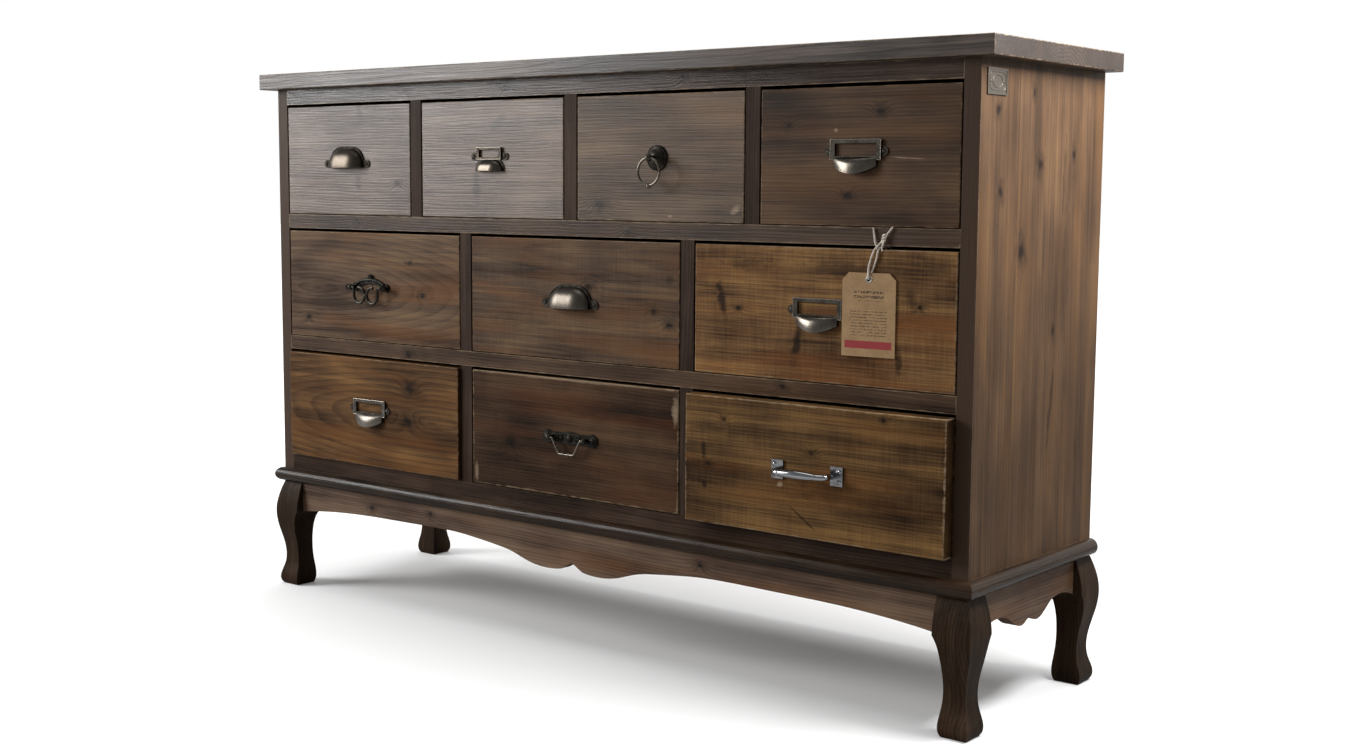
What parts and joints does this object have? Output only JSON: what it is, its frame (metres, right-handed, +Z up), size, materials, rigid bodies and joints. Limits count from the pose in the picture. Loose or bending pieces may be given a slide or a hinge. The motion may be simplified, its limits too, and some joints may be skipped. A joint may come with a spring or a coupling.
{
  "type": "seed storage cabinet",
  "caption": "Low dark-stained wooden chest with three rows of drawers, each with a different old metal pull, on short cabriole legs.",
  "frame": {"origin": "on the floor, under the middle of the whole chest, pulls and knees included", "axes": "+X to the right seen from the front, +Y to the back, +Z up; the drawers open along -Y"},
  "size_m": [1.2, 0.3563, 0.757],
  "materials": {
    "frame_wood": "dark brown stain, satin",
    "side_wood": "brown stain, satin",
    "drawer_wood": "brown stain, worn edges",
    "raw_wood": "bare softwood",
    "board_wood": "bare board",
    "antique_metal": "antique, dull",
    "dark_iron": "aged dark",
    "bright_metal": "polished, a little worn",
    "pewter": "dull grey",
    "kraft_card": "matt kraft card",
    "twine": "natural fibre"
  },
  "bodies": {
    "carcass": {"top_board": "frame_wood", "side_panel_left": "side_wood", "side_panel_right": "side_wood", "back_panel": "board_wood", "base_board": "board_wood", "head_rail": "frame_wood", "upper_rail": "frame_wood", "lower_rail": "frame_wood", "bottom_rail": "frame_wood", "divider_posts": "frame_wood", "drawer_runners": "raw_wood", "drawer_guides": "raw_wood", "base_moulding_front": "frame_wood", "base_moulding_left": "frame_wood", "base_moulding_right": "frame_wood", "base_frame_back": "raw_wood", "leg_front_left": "frame_wood", "leg_front_right": "frame_wood", "leg_back_left": "frame_wood", "leg_back_right": "frame_wood", "apron_front": "frame_wood", "apron_left": "frame_wood", "apron_right": "frame_wood", "apron_back": "raw_wood", "blank_side_plate": "pewter"},
    "drawer_top_1": {"drawer_front_top_1": "drawer_wood", "drawer_box_top_1": "raw_wood", "cup_pull_top_1": "antique_metal"},
    "drawer_top_2": {"drawer_front_top_2": "drawer_wood", "drawer_box_top_2": "raw_wood", "card_pull_top_2": "antique_metal"},
    "drawer_top_3": {"drawer_front_top_3": "drawer_wood", "drawer_box_top_3": "raw_wood", "ring_rosette_top_3": "antique_metal"},
    "drawer_top_4": {"drawer_front_top_4": "drawer_wood", "drawer_box_top_4": "raw_wood", "card_pull_top_4": "antique_metal"},
    "drawer_middle_1": {"drawer_front_middle_1": "drawer_wood", "drawer_box_middle_1": "raw_wood", "drop_plate_middle_1": "dark_iron"},
    "drawer_middle_2": {"drawer_front_middle_2": "drawer_wood", "drawer_box_middle_2": "raw_wood", "cup_pull_middle_2": "antique_metal"},
    "drawer_middle_3": {"drawer_front_middle_3": "drawer_wood", "drawer_box_middle_3": "raw_wood", "card_pull_middle_3": "antique_metal", "swing_tag": "kraft_card", "tag_twine": "twine"},
    "drawer_bottom_1": {"drawer_front_bottom_1": "drawer_wood", "drawer_box_bottom_1": "raw_wood", "card_pull_bottom_1": "antique_metal"},
    "drawer_bottom_2": {"drawer_front_bottom_2": "drawer_wood", "drawer_box_bottom_2": "raw_wood", "bail_plate_bottom_2": "dark_iron"},
    "drawer_bottom_3": {"drawer_front_bottom_3": "drawer_wood", "drawer_box_bottom_3": "raw_wood", "bar_pull_bottom_3": "bright_metal"},
    "ring": {"pull_ring_top_3": "antique_metal"},
    "loops": {"drop_bail_middle_1": "dark_iron"},
    "bail": {"bail_bottom_2": "dark_iron"}
  },
  "joints": [
    {"name": "slide_top_1", "type": "slide", "parent": "carcass", "child": "drawer_top_1", "axis": [0, -1, 0], "range_m": [0, 0.2]},
    {"name": "slide_top_2", "type": "slide", "parent": "carcass", "child": "drawer_top_2", "axis": [0, -1, 0], "range_m": [0, 0.2]},
    {"name": "slide_top_3", "type": "slide", "parent": "carcass", "child": "drawer_top_3", "axis": [0, -1, 0], "range_m": [0, 0.2]},
    {"name": "slide_top_4", "type": "slide", "parent": "carcass", "child": "drawer_top_4", "axis": [0, -1, 0], "range_m": [0, 0.2]},
    {"name": "slide_middle_1", "type": "slide", "parent": "carcass", "child": "drawer_middle_1", "axis": [0, -1, 0], "range_m": [0, 0.2]},
    {"name": "slide_middle_2", "type": "slide", "parent": "carcass", "child": "drawer_middle_2", "axis": [0, -1, 0], "range_m": [0, 0.2]},
    {"name": "slide_middle_3", "type": "slide", "parent": "carcass", "child": "drawer_middle_3", "axis": [0, -1, 0], "range_m": [0, 0.2]},
    {"name": "slide_bottom_1", "type": "slide", "parent": "carcass", "child": "drawer_bottom_1", "axis": [0, -1, 0], "range_m": [-0.005, 0.195]},
    {"name": "slide_bottom_2", "type": "slide", "parent": "carcass", "child": "drawer_bottom_2", "axis": [0, -1, 0], "range_m": [0, 0.2]},
    {"name": "slide_bottom_3", "type": "slide", "parent": "carcass", "child": "drawer_bottom_3", "axis": [0, -1, 0], "range_m": [-0.017, 0.183]},
    {"name": "swing_ring", "type": "hinge", "parent": "drawer_top_3", "child": "ring", "pos_m": [0.14175, -0.1509, 0.6325], "axis": [-1, 0, 0], "range_deg": [-20, 100]},
    {"name": "swing_loops", "type": "hinge", "parent": "drawer_middle_1", "child": "loops", "pos_m": [-0.378, -0.1449, 0.4545], "axis": [-1, 0, 0], "range_deg": [-12, 100]},
    {"name": "swing_bail", "type": "hinge", "parent": "drawer_bottom_2", "child": "bail", "pos_m": [0, -0.1429, 0.2765], "axis": [-1, 0, 0], "range_deg": [-10, 100]}
  ]
}
